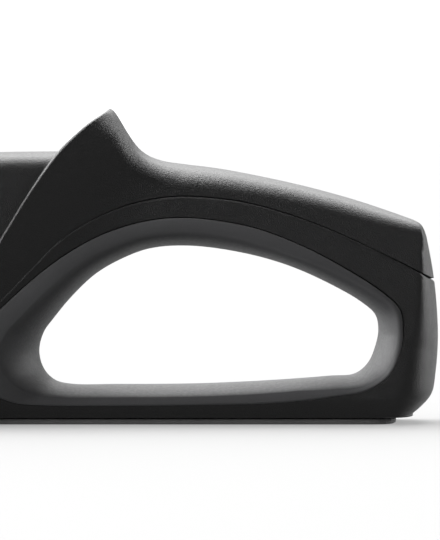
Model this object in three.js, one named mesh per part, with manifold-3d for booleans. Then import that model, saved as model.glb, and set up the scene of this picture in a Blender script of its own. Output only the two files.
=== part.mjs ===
// Hand-held knife edge beveler: a three-stage manual sharpener with a closed D handle.
// A blade is drawn through one of three slots in the head. Inside, pairs of dished
// abrasive wheels turn freely on one steel shaft and bevel both sides of the edge.
// Millimetres. +X runs from the nose to the rear of the handle, +Y across, +Z up.
// The origin is on the resting plane, under the middle of the length.
import * as THREE from "three";
import { mergeVertices } from "three/addons/utils/BufferGeometryUtils.js";
import Module from "manifold-3d";

const wasm = await Module();
wasm.setup();

// ---------------------------------------------------------------- driving dimensions
const GAP = 0.3; // between separate pieces
const RUN = 0.1; // running clearance of what turns or slides on the shaft
const WALL = 2.3; // moulded shells
const PAD_TOP = 1.6;
const BOTTOM = PAD_TOP + GAP; // underside of the housings
const HANDLE_HALF = 16.5; // half-width of the handle
const GUARD_HALF = 24; // half-width at the guard's rim
const HEAD_HALF = 20; // half-width of the head
const FLARE_LENGTH = 38; // how far behind the rim the guard has faded into the handle
const TUCK = 2.5; // how far the sides draw in towards the base
const TUCK_TOP = 7.4;
const END_ARC = 26.4; // plan radius of the rear end
const NOSE_ARC = 30; // plan radius of the nose
const CROWN = 0.8; // rise of the top surfaces across their width
const LINER_SKIN = 2.5; // thickness of the soft liner
const HEAD_TAIL = 1.5; // how far the head reaches behind the guard's rim

const STAGE_PITCH = 23;
const STAGES = [
  { name: "stage_1", x: -81.5, halfAngle: 20 },
  { name: "stage_2", x: -81.5 + STAGE_PITCH, halfAngle: 15 },
  { name: "stage_3", x: -81.5 + 2 * STAGE_PITCH, halfAngle: 17.5 },
];
const SLOT_HALF = 2.5; // half-width of a blade slot
const GUIDE_WALL = 1.2;
const SLOT_FLOOR = 53.8;
const SHAFT_Z = 46;
const SHAFT_R = 2;
const SLEEVE_R = 3.2;
const HUB_R = 6;
const WHEEL_R = 15;
const FLOAT_SIDE = 13; // stage centre to the web behind its floating wheel
const FIXED_SIDE = 10; // stage centre to the web behind its fixed wheel
const WEB = 2.5; // thickness of the cradle's webs
const TRAY_FLOOR = 4.4;

// Side-view curves, as [x, z] points.
const LEADING_EDGE = [
  [-54.6, BOTTOM], [-38.1, 29], [-24.5, 51.7], [-14.3, 68.2], [-6.8, 78.4], [0, 85], [7.4, 91],
];
const TOP_LINE = [
  [7.4, 91], [8.6, 90.1], [12.9, 83.3], [15.6, 79.6], [18.4, 77.4], [22.6, 75.8], [28.4, 74.9],
  [39.3, 73.5], [52, 71.1], [64.5, 68.3], [78, 64.6], [88, 61.3], [95.5, 58.6],
];
const REAR_END = [
  [94.3, BOTTOM], [97.6, 4.6], [100.7, 8.4], [101.9, 15], [102.5, 24], [102.2, 33], [101.3, 42],
  [99.8, 50.6], [98.7, 55.2], [97.5, 57.4], [95.5, 58.6],
];
const BODY_SEAM = [
  [-60, -1], [-41.9, 17.1], [-30.3, 29], [-18.8, 40.9], [-12.6, 47.3], [-7, 52.9], [0, 57.7],
  [8, 61.7], [16, 64.3], [26.3, 65.9], [36, 65.6], [46, 64.3], [56.6, 61.6], [69, 57.2],
  [80.5, 52.1], [95.5, 44.7], [108, 38],
];
const HEAD_TOP = [
  [-93, 66.6], [-84, 70.4], [-70, 73.9], [-55, 76.1], [-40, 77.5], [-24.5, 78.3], [-6.5, 78.5], [4, 78.5],
];
const NOSE = [
  [-95.5, BOTTOM], [-98.6, 4.8], [-101, 8.6], [-102, 15], [-102.5, 24], [-101.8, 38],
  [-99.9, 52], [-98, 60.5], [-96.2, 64.6], [-93, 66.6],
];
const HEAD_SEAM = [[-110, 21.7], [-44, 14], [20, 6.5]];

// The hand opening at mid-width, paired with the liner's outer edge on the side face.
const HOLE_AND_RIM = [
  [[30, 51.2], [29, 59.8]], [[45.1, 49.3], [47.5, 57.3]], [[59, 45.5], [62.5, 51.9]],
  [[72, 39.7], [76, 44.9]], [[80.5, 34.7], [86.2, 38.3]], [[84.3, 31.2], [91, 33.6]],
  [[85.2, 27], [92, 28]], [[84.4, 22.3], [91.4, 21.5]], [[82.2, 17.2], [88.3, 14.6]],
  [[78.4, 14.1], [81.8, 10.1]], [[71, 13.4], [72.5, 8.3]], [[55, 12.2], [55.5, 6.4]],
  [[33, 11.2], [33, 5.8]], [[10, 11], [8, 5.5]], [[-4, 11.1], [-11, 5.6]],
  [[-8.6, 12.3], [-20.5, 6.5]], [[-11.8, 15.6], [-29, 11.2]], [[-13.1, 20.6], [-33, 19]],
  [[-11.9, 25.9], [-30.6, 26.3]], [[-8.5, 30.7], [-24.5, 32.8]], [[-3.1, 37.1], [-14.6, 42]],
  [[3.5, 43.2], [-4.5, 49.6]], [[11, 47.5], [6, 55.2]], [[19, 50.4], [17, 58.6]],
];

// ---------------------------------------------------------------- small helpers
const { lerp, clamp, degToRad } = THREE.MathUtils;
const range = (count) => [...Array(count).keys()];
const mixed = (a, b, t) => [lerp(a[0], b[0], t), lerp(a[1], b[1], t)];

/** A smooth curve through [x, z] points, as a function of 0..1 along its length. */
function through(points, closed = false) {
  const vectors = points.map(([x, z]) => new THREE.Vector3(x, 0, z));
  const spline = new THREE.CatmullRomCurve3(vectors, closed, "centripetal");
  return (t) => {
    const p = spline.getPointAt(t);
    return [p.x, p.z];
  };
}

/** Where a curve that climbs steadily in one coordinate reaches a value of it. */
function crossing(curve, coordinate, value) {
  let low = 0;
  let high = 1;
  const rising = curve(1)[coordinate] > curve(0)[coordinate];
  for (let i = 0; i < 24; i++) {
    const middle = (low + high) / 2;
    if (curve(middle)[coordinate] < value === rising) low = middle;
    else high = middle;
  }
  return curve((low + high) / 2);
}

/** A table of one curve's x against z, for quick reading. */
function tableOfX(curve, steps = 120) {
  const points = range(steps + 1).map((i) => curve(i / steps));
  return (z) => {
    const i = clamp(points.findIndex((p) => p[1] > z), 1, steps);
    const next = z >= points[steps][1] ? steps : i;
    const [a, b] = [points[next - 1], points[next]];
    return lerp(a[0], b[0], (z - a[1]) / (b[1] - a[1]));
  };
}

const leadingEdge = through(LEADING_EDGE);
const topLine = through(TOP_LINE);
const rearEnd = through(REAR_END);
const headTop = through(HEAD_TOP);
const nose = through(NOSE);
const leadX = tableOfX(leadingEdge);
const rearX = tableOfX(rearEnd);
const noseX = tableOfX(nose);

/** The smaller of two lengths, with the corner between them rounded. */
function softMin(a, b, rounding) {
  const h = clamp(0.5 + (0.5 * (b - a)) / rounding, 0, 1);
  return lerp(b, a, h) - rounding * h * (1 - h);
}

const arcHalf = (radius, depth) => Math.sqrt(Math.max(0.01, radius ** 2 - Math.max(0, radius - depth) ** 2));
const tuckAt = (z) => TUCK * clamp((TUCK_TOP - z) / (TUCK_TOP - BOTTOM), 0, 1);

/** Half-width of the handle and guard at a point of the side view. */
function bodyHalf(x, z) {
  const flare = clamp(1 - (x - leadX(z)) / FLARE_LENGTH, 0, 1.1) ** 2;
  const side = HANDLE_HALF + (GUARD_HALF - HANDLE_HALF) * flare - tuckAt(z);
  return softMin(side, arcHalf(END_ARC, rearX(z) - x), 3);
}

/** Half-width of the head at a point of the side view. */
function headHalf(x, z) {
  return softMin(HEAD_HALF - tuckAt(z), arcHalf(NOSE_ARC, x - noseX(z)), 4);
}

// ---------------------------------------------------------------- solids
const SLIVER = 0.03; // detail smaller than this is left over from a cut, and goes

/** A closed three.js geometry as a manifold solid. */
function solid(geometry) {
  const bare = geometry.clone();
  bare.deleteAttribute("normal");
  bare.deleteAttribute("uv");
  const merged = mergeVertices(bare, 1e-4);
  const faces = [];
  for (let i = 0; i < merged.index.count; i += 3) {
    const [a, b, c] = merged.index.array.subarray(i, i + 3);
    if (a !== b && b !== c && c !== a) faces.push(a, b, c);
  }
  const triVerts = new Uint32Array(faces);
  const build = () =>
    new wasm.Manifold(
      new wasm.Mesh({ numProp: 3, vertProperties: merged.attributes.position.array, triVerts }),
    );
  const made = build();
  if (made.volume() > 0) return made;
  for (let i = 0; i < triVerts.length; i += 3) {
    [triVerts[i + 1], triVerts[i + 2]] = [triVerts[i + 2], triVerts[i + 1]];
  }
  return build();
}

function geometryOf(manifold) {
  const { numProp, numVert, vertProperties, triVerts } = manifold.asOriginal().simplify(SLIVER).getMesh();
  const position = new Float32Array(numVert * 3);
  for (let i = 0; i < numVert; i++) {
    position.set(vertProperties.subarray(i * numProp, i * numProp + 3), i * 3);
  }
  const geometry = new THREE.BufferGeometry();
  geometry.setAttribute("position", new THREE.BufferAttribute(position, 3));
  geometry.setIndex(new THREE.BufferAttribute(triVerts, 1));
  geometry.computeVertexNormals();
  return geometry;
}

const box = (x0, x1, y0, y1, z0, z1) =>
  solid(new THREE.BoxGeometry(x1 - x0, y1 - y0, z1 - z0).translate((x0 + x1) / 2, (y0 + y1) / 2, (z0 + z1) / 2));

const post = (x, y, z0, z1, radius, sides = 20) =>
  solid(new THREE.CylinderGeometry(radius, radius, z1 - z0, sides).rotateX(Math.PI / 2).translate(x, y, (z0 + z1) / 2));

/** A side-view outline of [x, z] points, carried from -half to +half across the width. */
function prism(outline, half) {
  const shape = new THREE.Shape(outline.map(([x, z]) => new THREE.Vector2(x, z)));
  const geometry = new THREE.ExtrudeGeometry(shape, { depth: 2 * half, bevelEnabled: false });
  return solid(geometry.rotateX(Math.PI / 2).translate(0, half, 0));
}

/** A closed profile of [distance along X, radius] points turned about the shaft's line. */
function turned(profile, x, sides = 24) {
  const ring = [...profile, profile[0]].map(([a, r]) => new THREE.Vector2(r, a));
  return geometryOf(solid(new THREE.LatheGeometry(ring, sides).rotateZ(-Math.PI / 2).translate(x, 0, SHAFT_Z)));
}

/** Joins closed loops of points, one after another. Strips from side to side cap both ends. */
function loft(loops) {
  const count = loops[0].length;
  const index = [];
  for (let i = 0; i + 1 < loops.length; i++) {
    for (let j = 0; j < count; j++) {
      const [a, b] = [i * count + j, i * count + ((j + 1) % count)];
      index.push(a, b, a + count, b, b + count, a + count);
    }
  }
  const last = (loops.length - 1) * count;
  for (let k = 0; k < count / 2; k++) {
    const [left, right] = [[k, k + 1], [(count - k) % count, count - k - 1]];
    index.push(right[0], left[1], left[0], right[0], right[1], left[1]);
    index.push(...[left[0], left[1], right[0], left[1], right[1], right[0]].map((v) => v + last));
  }
  const geometry = new THREE.BufferGeometry();
  geometry.setAttribute("position", new THREE.BufferAttribute(new Float32Array(loops.flat(2)), 3));
  geometry.setIndex(index);
  return solid(geometry);
}

// ---------------------------------------------------------------- outer envelopes
/** A row's side-view line: the chord from bottom to top, bent by a share of each bulge curve. */
function sideLine(bottom, top, bulges) {
  return (v) => {
    const p = mixed(bottom, top, v);
    for (const [curve, share] of bulges) {
      const [on, chord] = [curve(v), mixed(curve(0), curve(1), v)];
      p[0] += share * (on[0] - chord[0]);
      p[1] += share * (on[1] - chord[1]);
    }
    return p;
  };
}

/** One closed section: up the left side, over the rounded top corner, and mirrored back. */
function sectionLoop(line, halfAt, cornerRadius) {
  const points = range(41).map((i) => line(i / 40));
  let length = 0;
  for (let i = 1; i < points.length; i++) {
    length += Math.hypot(points[i][0] - points[i - 1][0], points[i][1] - points[i - 1][1]);
  }
  const at = (s) => line(clamp(s / length, 0, 1));
  const top = length - CROWN;
  const [tx, tz] = at(top);
  const radius = Math.min(cornerRadius, 0.9 * halfAt(tx, tz));
  const left = [];
  const heights = [0, 0.04, 0.085, 0.25, 0.45, 0.65, 0.85, 1];
  for (const h of heights) {
    const [x, z] = at(h * (top - radius));
    left.push([x, -halfAt(x, z), z]);
  }
  for (const degrees of [25, 50, 72, 90]) {
    const angle = degToRad(degrees);
    const [x, z] = at(top - radius + radius * Math.sin(angle));
    left.push([x, -(halfAt(x, z) - radius + radius * Math.cos(angle)), z]);
  }
  const [bottom, crest] = [at(0), at(length)];
  const right = left.map(([x, y, z]) => [x, -y, z]).reverse();
  return [[bottom[0], 0, bottom[1]], ...left, [crest[0], 0, crest[1]], ...right];
}

/** The outside of guard and handle, drawn in by inset on every side but the bottom. */
function bodyEnvelope(inset = 0) {
  const FAN = [0, 0.02, 0.05, 0.09, 0.13, 0.17, 0.22, 0.28, 0.35, 0.43, 0.51, 0.59, 0.67, 0.75, 0.82];
  const FROM_END = [11, 8, 6.6, 5.2, 3.4, 1.6, 0.15];
  const [start, end] = [leadingEdge(0)[0], rearEnd(0)[0]];
  const under = (q) => {
    const [at, next] = [topLine(q), topLine(q + 0.005)];
    const slope = Math.hypot(next[0] - at[0], next[1] - at[1]);
    return [at[0] + (inset * (next[1] - at[1])) / slope, at[1] - (inset * (next[0] - at[0])) / slope];
  };
  const lowered = ([x, z]) => [x, z - inset];
  const tip = inset > 0 ? 0.045 : 0; // where the drawn-in top line leaves the rim
  const rows = FAN.map((q) => ({ bottom: lerp(start, end, q) + 1.17 * inset * (1 - q), top: under(lerp(tip, 1, q)), q }));
  for (const d of FROM_END) {
    rows.push({
      bottom: end - d - inset,
      top: lowered(crossing(topLine, 0, TOP_LINE.at(-1)[0] - d - inset)),
      q: 1,
      end: 1 - d / 30,
    });
  }
  const loops = rows.map(({ bottom, top, q, end: rear = 0 }) => {
    const line = sideLine([bottom, BOTTOM], top, [
      [leadingEdge, clamp(1 - q / 0.3, 0, 1) ** 2],
      [rearEnd, rear],
    ]);
    const corner = lerp(13, 8, clamp(q / 0.2, 0, 1)) - inset;
    return sectionLoop(line, (x, z) => Math.max(0.6, bodyHalf(x, z) - inset), corner);
  });
  return loft(loops);
}

/** The outside of the head and the tray under it, from the nose to just behind the guard's rim. */
function headEnvelope(inset = 0, tail = HEAD_TAIL) {
  const FROM_NOSE = [0.15, 1.2, 2.8, 4.8, 6.8, 9, 13];
  const FAN = [0.3, 0.5, 0.7, 0.85, 1];
  const [start, end] = [nose(0)[0], leadingEdge(0)[0] + tail];
  const topAt = (x) => crossing(headTop, 0, x);
  const topEnd = leadX(HEAD_TOP.at(-1)[1]) + tail;
  const rows = FROM_NOSE.map((d) => ({
    bottom: start + d + inset,
    top: topAt(HEAD_TOP[0][0] + d + inset),
    front: 1 - d / 30,
    rear: 0,
  }));
  for (const q of FAN) {
    rows.push({
      bottom: lerp(start, end, q),
      top: topAt(lerp(HEAD_TOP[0][0], topEnd, q)),
      front: 0,
      rear: q ** 2,
    });
  }
  const below = (v) => leadingEdge(v * 0.87); // the rim's line up to the height of the head
  const loops = rows.map(({ bottom, top, front, rear }) => {
    const line = sideLine([bottom, BOTTOM], [top[0], top[1] - inset], [[nose, front], [below, rear]]);
    return sectionLoop(line, (x, z) => Math.max(0.6, headHalf(x, z) - inset), 4.5 - inset);
  });
  return loft(loops);
}

/** The hand opening's flared tunnel. grow sinks it into the handle, rim widens its outer edge. */
function handTunnel(grow, rim) {
  const SAMPLES = 48;
  const spline = (points) =>
    new THREE.CatmullRomCurve3(points.map(([x, z]) => new THREE.Vector3(x, 0, z)), true, "centripetal");
  const pairs = HOLE_AND_RIM.map(([hole, edge]) => {
    const away = new THREE.Vector2(edge[0] - hole[0], edge[1] - hole[1]).normalize();
    return [
      [hole[0] + away.x * grow, hole[1] + away.y * grow],
      [edge[0] + away.x * rim, edge[1] + away.y * rim],
    ];
  });
  const inner = spline(pairs.map((pair) => pair[0]));
  const outer = spline(pairs.map((pair) => pair[1]));
  const ringAt = (degrees, side, extra = 0) =>
    range(SAMPLES).map((i) => {
      const [h, o] = [inner.getPoint(i / SAMPLES), outer.getPoint(i / SAMPLES)];
      const depth = (bodyHalf(o.x, o.z) - grow) * Math.sin(degToRad(degrees)) + extra;
      const [x, z] = mixed([h.x, h.z], [o.x, o.z], 1 - Math.cos(degToRad(degrees)));
      return [x, side * depth, z];
    });
  const ANGLES = [90, 72, 54, 36, 18];
  const clear = grow + 6; // past the side faces
  return loft([
    ringAt(90, -1, clear),
    ...ANGLES.map((a) => ringAt(a, -1)),
    ringAt(0, 1),
    ...ANGLES.toReversed().map((a) => ringAt(a, 1)),
    ringAt(90, 1, clear),
  ]);
}

/** Everything above a seam line, lifted by gap; with gap below zero, everything under it. */
function beyondSeam(seam, steps, gap) {
  const curve = through(seam);
  const edge = range(steps + 1).map((i) => curve(i / steps));
  const far = gap > 0 ? 130 : -30;
  const shifted = edge.map(([x, z]) => [x, z + gap]);
  return prism([...shifted, [edge.at(-1)[0], far], [edge[0][0], far]], 40);
}

// ---------------------------------------------------------------- casing pieces
const BODY_SEAM_STEPS = 29;
const body = bodyEnvelope();
const head = headEnvelope();
const headPassage = headEnvelope(-GAP, HEAD_TAIL + GAP);

const NOSE_SCREWS = [-11, 11].map((y) => ({ x: -86, y, seat: 10, tip: 25, seam: HEAD_SEAM, steps: 4 }));
const GUARD_SCREWS = [-10, 10].map((y) => ({ x: -26, y, seat: 18, tip: 38, seam: BODY_SEAM, steps: BODY_SEAM_STEPS }));
const CASE_SCREWS = [...NOSE_SCREWS, ...GUARD_SCREWS];
const SCREW = { shank: 1.5, head: 3, headHeight: 2.2 };

/** A hollow post under a shell for a screw, with a web that ties it to the side wall. */
function screwBoss({ x, y, tip, seam, steps }, shell) {
  const wall = Math.sign(y) * 22;
  const web = box(x - 1, x + 1, Math.min(y, wall), Math.max(y, wall), 0, tip + 3);
  return post(x, y, 0, tip + 3, 2.8)
    .add(web)
    .intersect(shell)
    .intersect(beyondSeam(seam, steps, GAP))
    .subtract(post(x, y, 0, tip + 1, SCREW.shank + GAP));
}

function topCover() {
  let cover = body
    .intersect(beyondSeam(BODY_SEAM, BODY_SEAM_STEPS, GAP / 2))
    .subtract(bodyEnvelope(WALL))
    .subtract(headEnvelope(-GAP, 5));
  for (const at of GUARD_SCREWS) cover = cover.add(screwBoss(at, body));
  for (const x of [30, 62]) {
    const top = crossing(topLine, 0, x)[1] - 1;
    const seamZ = crossing(through(BODY_SEAM), 0, x)[1];
    const rib = box(x - 1, x + 1, -15, 15, seamZ + 2.5, top).subtract(box(x - 2, x + 2, -9, 9, 0, top - 4));
    cover = cover.add(rib.intersect(body));
  }
  return largest(cover);
}

function headHousing() {
  let housing = head.intersect(beyondSeam(HEAD_SEAM, 4, GAP / 2)).subtract(headEnvelope(WALL, HEAD_TAIL + 5));
  for (const at of NOSE_SCREWS) housing = housing.add(screwBoss(at, head));
  const cut = SLOT_HALF + GUIDE_WALL + GAP;
  for (const { x } of STAGES) {
    housing = housing.subtract(box(x - cut, x + cut, -30, 30, SLOT_FLOOR - 2.8 - GAP, 100));
  }
  return largest(housing);
}

function lowerHousing() {
  const tray = headEnvelope(WALL, 0).intersect(box(-110, 20, -17.4, 17.4, TRAY_FLOOR, 80));
  const TRAY_END = [[-60, TRAY_FLOOR], [-37, TRAY_FLOOR], [-37, 21], [-31, 30.5], [-20, 43], [-8, 52.5], [-8, 70], [-60, 70]];
  const THROAT = [[-38, TRAY_FLOOR], [-21.5, TRAY_FLOOR], [-21.5, 24], [-20, 30], [-13, 37.5], [-6, 44.5], [-6, 60], [-38, 60]];
  const BAR = [
    [-12, 47], [-4, 51.2], [6, 56.6], [17, 60], [29, 61.2], [47.8, 58.6], [63, 53.3], [76.8, 46.4], [87, 39.8],
    [93, 35.4], [98, 35.4], [98, 80], [-12, 80],
  ];
  const REAR_POST = [[93.6, 14], [98.4, 14], [98.4, 50], [93.6, 50]];
  const handle = body
    .intersect(beyondSeam(BODY_SEAM, BODY_SEAM_STEPS, -GAP / 2))
    .subtract(headPassage.intersect(beyondSeam(HEAD_SEAM, 4, GAP / 4)));
  const whole = handle.add(head.intersect(beyondSeam(HEAD_SEAM, 4, -GAP / 2)));
  let housing = whole
    .subtract(tray)
    .subtract(prism(TRAY_END, 17.4))
    .subtract(prism(THROAT, 8.8))
    .subtract(prism(BAR, 12))
    .subtract(prism(REAR_POST, 8.5))
    .subtract(box(-13, 88, -10, 10, 0, 4.8));
  for (const { x, y, seat } of CASE_SCREWS) {
    const column = post(x, y, 0, 60, 3.2).add(post(x, y, 0, seat + 2, SCREW.head + 1.8));
    housing = housing
      .add(column.intersect(whole))
      .subtract(post(x, y, 0, seat, SCREW.head + 0.4))
      .subtract(post(x, y, 0, 60, SCREW.shank + GAP));
  }
  for (const x of CRADLE_SCREWS) housing = housing.subtract(post(x, 0, 0, 6, SCREW.shank + GAP));
  return largest(housing.subtract(handTunnel(LINER_SKIN + GAP, GAP)));
}

/** The biggest body of a solid, without slivers that a cut left behind. */
function largest(manifold) {
  return manifold.decompose().reduce((best, piece) => (piece.volume() > best.volume() ? piece : best));
}

const gripLiner = () => largest(body.intersect(handTunnel(LINER_SKIN, 0)).subtract(handTunnel(0, 0)));

/** Soft pad under the whole length. It also hides the four case screws. */
function basePad() {
  const shape = new THREE.Shape();
  const [wide, narrow, front, rear] = [16.3, 13, -94, 90.4];
  shape.moveTo(front + 8, -wide);
  shape.lineTo(-52, -wide);
  shape.bezierCurveTo(-44, -wide, -42, -narrow, -34, -narrow);
  shape.lineTo(rear - 8, -narrow);
  shape.bezierCurveTo(rear - 2, -narrow, rear, -narrow + 3, rear, 0);
  shape.bezierCurveTo(rear, narrow - 3, rear - 2, narrow, rear - 8, narrow);
  shape.lineTo(-34, narrow);
  shape.bezierCurveTo(-42, narrow, -44, wide, -52, wide);
  shape.lineTo(front + 8, wide);
  shape.bezierCurveTo(front + 2, wide, front, wide - 5, front, 0);
  shape.bezierCurveTo(front, 5 - wide, front + 2, -wide, front + 8, -wide);
  const round = 0.5;
  const geometry = new THREE.ExtrudeGeometry(shape, {
    depth: PAD_TOP - 2 * round,
    bevelSize: round,
    bevelOffset: -round,
    bevelThickness: round,
    bevelSegments: 2,
    curveSegments: 6,
  });
  return solid(geometry.translate(0, 0, round));
}

// ---------------------------------------------------------------- sharpening cartridge
const CRADLE_SCREWS = [-83, -54];
const WEBS = [...STAGES.map((stage) => stage.x - FLOAT_SIDE), STAGES.at(-1).x + FIXED_SIDE];

function wheelCradle() {
  const [floor, thick, top] = [TRAY_FLOOR + GAP, 2.5, SHAFT_Z + 6];
  let cradle = box(-79.5, -37.6, -12, 12, floor, floor + thick).add(
    box(WEBS[0] - WEB / 2, WEBS.at(-1) + WEB / 2, -4.9, 4.9, floor, floor + thick),
  );
  WEBS.forEach((x, i) => {
    const half = i === 0 || i === WEBS.length - 1 ? 4.9 : 12;
    const foot = [[x - WEB / 2, floor], [x + WEB / 2, floor], [x + WEB / 2, top], [x - WEB / 2, top]];
    const notch = box(x - 2, x + 2, -SHAFT_R - GAP, SHAFT_R + GAP, SHAFT_Z, top + 1);
    const seat = solid(
      new THREE.CylinderGeometry(SHAFT_R + GAP, SHAFT_R + GAP, 4, 16).rotateZ(Math.PI / 2).translate(x, 0, SHAFT_Z),
    );
    cradle = cradle.add(prism(foot, half)).subtract(notch).subtract(seat);
  });
  for (const x of [WEBS[1], WEBS[2]]) {
    cradle = cradle.subtract(box(x - 2, x + 2, -7, 7, 14, 32));
  }
  for (const x of CRADLE_SCREWS) cradle = cradle.subtract(post(x, 0, 0, 12, SCREW.shank + GAP));
  return cradle;
}

/** A keeper that closes a web's notch over the shaft. */
function shaftKeeper(x) {
  const top = SHAFT_Z + 6;
  const tongue = box(x - WEB / 2, x + WEB / 2, -SHAFT_R, SHAFT_R, SHAFT_Z + SHAFT_R + GAP, top + GAP + 0.2);
  return tongue.add(box(x - WEB / 2, x + WEB / 2, -5, 5, top + GAP, top + 2));
}

/** A slot's lining: two guide plates that follow the head's outside, bridged under the blade. */
function stageGuide({ x }) {
  const outer = SLOT_HALF + GUIDE_WALL;
  const crest = crossing(headTop, 0, x)[1];
  const lining = head.intersect(box(x - outer, x + outer, -30, 30, SLOT_FLOOR - 2.8, 100));
  const bladeWay = [
    [x - SLOT_HALF, SLOT_FLOOR], [x + SLOT_HALF, SLOT_FLOOR], [x + SLOT_HALF, crest - 4],
    [x + SLOT_HALF + 0.8, crest + 2], [x - SLOT_HALF - 0.8, crest + 2], [x - SLOT_HALF, crest - 4],
  ];
  const wheelRoom = new THREE.CylinderGeometry(WHEEL_R + 1, WHEEL_R + 1, 20, 28).rotateZ(Math.PI / 2);
  return lining.subtract(prism(bladeWay, 30)).subtract(solid(wheelRoom.translate(x, 0, SHAFT_Z)));
}

/** Abrasive dish: a thin cone whose face is its half-angle off the blade's plane. side is -1 or 1. */
function wheelDish({ x, halfAngle }, side) {
  const [near, inner] = [0.4, 8];
  const rim = near + (WHEEL_R - inner) * Math.tan(degToRad(halfAngle));
  const profile = [[near, SLEEVE_R + RUN], [near, inner], [rim, WHEEL_R], [rim + 1, WHEEL_R], [near + 1.5, inner + 0.2], [near + 1.5, SLEEVE_R + RUN]];
  return turned(profile.map(([a, r]) => [side * a, r]), x, 32);
}

function wheelHub({ x }, side) {
  const profile = [[2.2, SLEEVE_R + RUN], [2.2, HUB_R], [5.4, HUB_R - 0.6], [5.4, SLEEVE_R + RUN]];
  return turned(profile.map(([a, r]) => [side * a, r]), x);
}

/** Flanged sleeve that a wheel turns on. The fixed one reaches back to its web. */
function wheelSleeve({ x }, side, back) {
  const [bore, flange] = [SHAFT_R + RUN, 5.5];
  const profile = [[GAP / 2, bore], [GAP / 2, SLEEVE_R], [5.7, SLEEVE_R], [5.7, flange], [6.9, flange], [6.9, 4], [back, 4], [back, bore]];
  return turned(profile.map(([a, r]) => [side * a, r]), x, 20);
}

/** Compression spring between a floating wheel's sleeve and its web. */
function floatSpring({ x }) {
  const [wire, radius, turns, steps] = [0.38, 4.9, 3.25, 12];
  const [from, to] = [FLOAT_SIDE - WEB / 2 - GAP - wire, 7.2 + wire];
  const points = range(turns * steps + 1).map((i) => {
    const angle = (2 * Math.PI * i) / steps;
    const along = lerp(from, to, i / (turns * steps));
    return new THREE.Vector3(x - along, radius * Math.cos(angle), SHAFT_Z + radius * Math.sin(angle));
  });
  const section = new THREE.Shape(range(6).map((i) => {
    const angle = (Math.PI * i) / 3;
    return new THREE.Vector2(wire * Math.cos(angle), wire * Math.sin(angle));
  }));
  const path = new THREE.CatmullRomCurve3(points);
  return geometryOf(solid(new THREE.ExtrudeGeometry(section, { steps: turns * steps, extrudePath: path, bevelEnabled: false })));
}

/** Pan-head screw with a cross recess. direction is 1 when the tip points up. */
function screw(x, y, seat, tip, direction) {
  const { shank, head: headR, headHeight } = SCREW;
  const length = Math.abs(tip - seat);
  const profile = [[0, -headHeight], [headR - 0.7, -headHeight], [headR, -headHeight + 0.8], [headR, 0], [shank, 0], [shank, length - 1], [0.4, length], [0, length]];
  const turnedScrew = solid(new THREE.LatheGeometry(profile.map(([r, h]) => new THREE.Vector2(r, h)), 14));
  const slot = (width, depth) => solid(new THREE.BoxGeometry(width, 1.6, depth).translate(0, -headHeight, 0));
  const cut = turnedScrew.subtract(slot(3.4, 0.8)).subtract(slot(0.8, 3.4));
  return geometryOf(cut).rotateX((direction * Math.PI) / 2).translate(x, y, seat);
}

// ---------------------------------------------------------------- materials
const material = (color, roughness, metalness = 0) => new THREE.MeshStandardMaterial({ color, roughness, metalness });
const MATERIALS = {
  blackShell: material(0x1b1b1c, 0.42),
  softGrip: material(0x4a4a4c, 0.6),
  rubber: material(0x262627, 0.85),
  guide: material(0x6d6f73, 0.5),
  cradle: material(0x8f9195, 0.6),
  steel: material(0xb9bbbf, 0.3, 1),
  abrasive: material(0x8a8577, 0.75, 0.6),
  hub: material(0xd6d2c4, 0.55),
  sleeve: material(0xb08d4c, 0.35, 1),
};

// ---------------------------------------------------------------- assembly
const beveler = new THREE.Group();

function place(name, geometry, materialName) {
  const mesh = new THREE.Mesh(geometry, MATERIALS[materialName]);
  mesh.name = name;
  beveler.add(mesh);
}

place("lower_housing", geometryOf(lowerHousing()), "blackShell");
place("top_cover", geometryOf(topCover()), "blackShell");
place("grip_liner", geometryOf(gripLiner()), "softGrip");
place("head_housing", geometryOf(headHousing()), "blackShell");
place("base_pad", geometryOf(basePad()), "rubber");
place("wheel_cradle", geometryOf(wheelCradle()), "cradle");
place("shaft_keeper_front", geometryOf(shaftKeeper(WEBS[0])), "cradle");
place("shaft_keeper_rear", geometryOf(shaftKeeper(WEBS.at(-1))), "cradle");

const SHAFT_ENDS = [WEBS[0] - WEB / 2 - 1.5, WEBS.at(-1) + WEB / 2 + 1.5];
place("wheel_shaft", turned([[SHAFT_ENDS[0], 0], [SHAFT_ENDS[0], SHAFT_R], [SHAFT_ENDS[1], SHAFT_R], [SHAFT_ENDS[1], 0]], 0, 20), "steel");
const clip = [[0, SHAFT_R + GAP], [0, 3.8], [0.6, 3.8], [0.6, SHAFT_R + GAP]];
place("shaft_clip_front", turned(clip, WEBS[0] - WEB / 2 - 0.9, 20), "steel");
place("shaft_clip_rear", turned(clip, WEBS.at(-1) + WEB / 2 + GAP, 20), "steel");

for (const stage of STAGES) {
  place(stage.name + "_guide", geometryOf(stageGuide(stage)), "guide");
  place(stage.name + "_fixed_sleeve", wheelSleeve(stage, 1, FIXED_SIDE - WEB / 2 - GAP), "sleeve");
  place(stage.name + "_fixed_hub", wheelHub(stage, 1), "hub");
  place(stage.name + "_fixed_wheel", wheelDish(stage, 1), "abrasive");
  place(stage.name + "_floating_sleeve", wheelSleeve(stage, -1, 7), "sleeve");
  place(stage.name + "_floating_hub", wheelHub(stage, -1), "hub");
  place(stage.name + "_floating_wheel", wheelDish(stage, -1), "abrasive");
  place(stage.name + "_spring", floatSpring(stage), "steel");
}

for (const [i, { x, y, seat, tip }] of CASE_SCREWS.entries()) {
  const name = `${i < 2 ? "nose" : "guard"}_screw_${y < 0 ? "near" : "far"}`;
  place(name, screw(x, y, seat - GAP, tip, 1), "steel");
}
CRADLE_SCREWS.forEach((x, i) => {
  place(`cradle_screw_${i ? "rear" : "front"}`, screw(x, 0, TRAY_FLOOR + 2 * GAP + 2.5, 2.2, -1), "steel");
});

export default beveler;
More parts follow.
